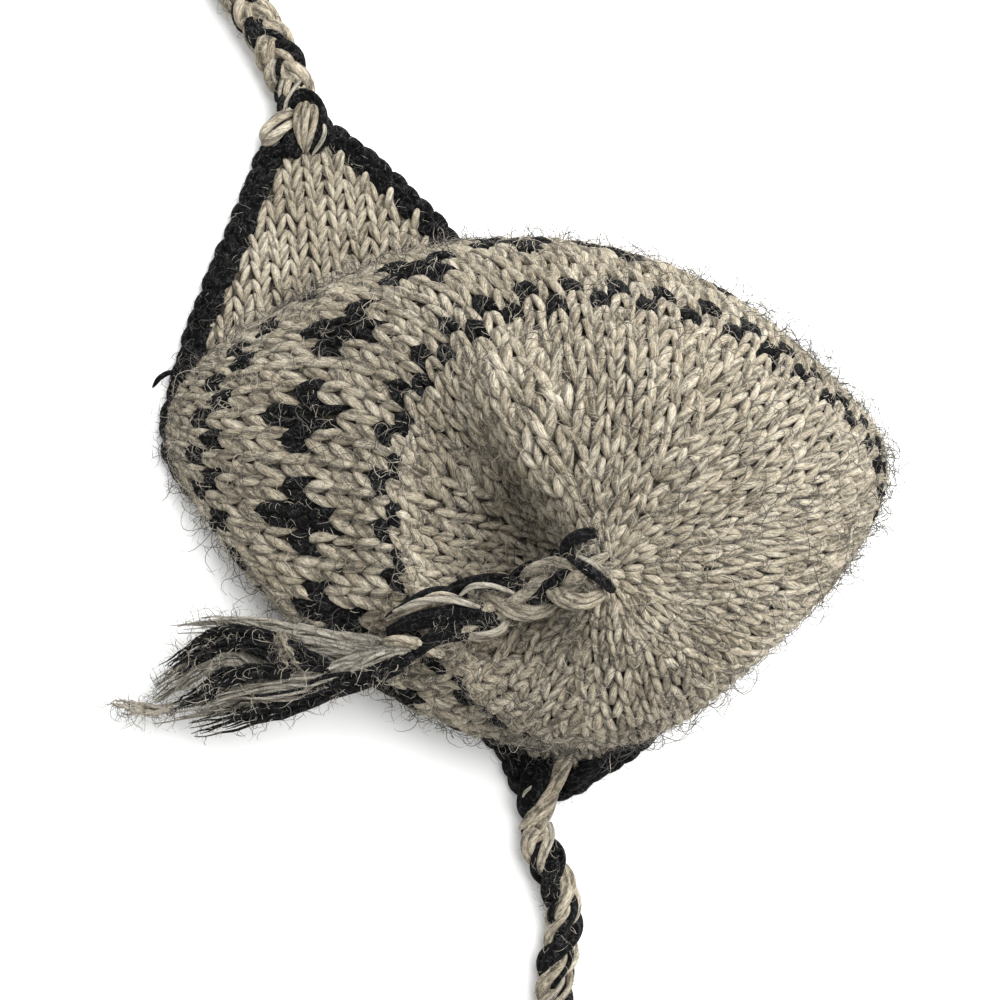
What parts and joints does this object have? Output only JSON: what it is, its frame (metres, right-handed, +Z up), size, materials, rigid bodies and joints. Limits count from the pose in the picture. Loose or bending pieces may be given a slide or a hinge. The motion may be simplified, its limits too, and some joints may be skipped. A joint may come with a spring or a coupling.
{
  "type": "chullo hat",
  "caption": "Knitted wool hat with ear flaps, braided ties and a crown tassel, lying slumped on its rim.",
  "frame": {"origin": "Middle of the base of the hat without its ties, braid and tassel, on the surface it lies on.", "axes": "+Z up from the surface; +Y towards flap a, +X towards the side that the crown slumps to."},
  "size_m": [0.2097, 0.4179, 0.0744],
  "materials": {
    "natural_wool": "heathered taupe two-ply hand-spun wool, knitted",
    "black_wool": "black wool with grey fibres, crocheted",
    "mixed_wool": "taupe and black wool yarns, braided and loose"
  },
  "bodies": {
    "root": {"crown_shell": "natural_wool", "ear_flap_a": "natural_wool", "ear_flap_b": "natural_wool", "edging_west": "black_wool", "edging_east": "black_wool", "tie_a_loops": "mixed_wool", "tie_b_loops": "mixed_wool", "tie_a": "mixed_wool", "tie_b": "mixed_wool", "tie_a_end": "mixed_wool", "tie_b_end": "mixed_wool", "crown_braid": "mixed_wool", "crown_tassel": "mixed_wool"}
  },
  "joints": []
}
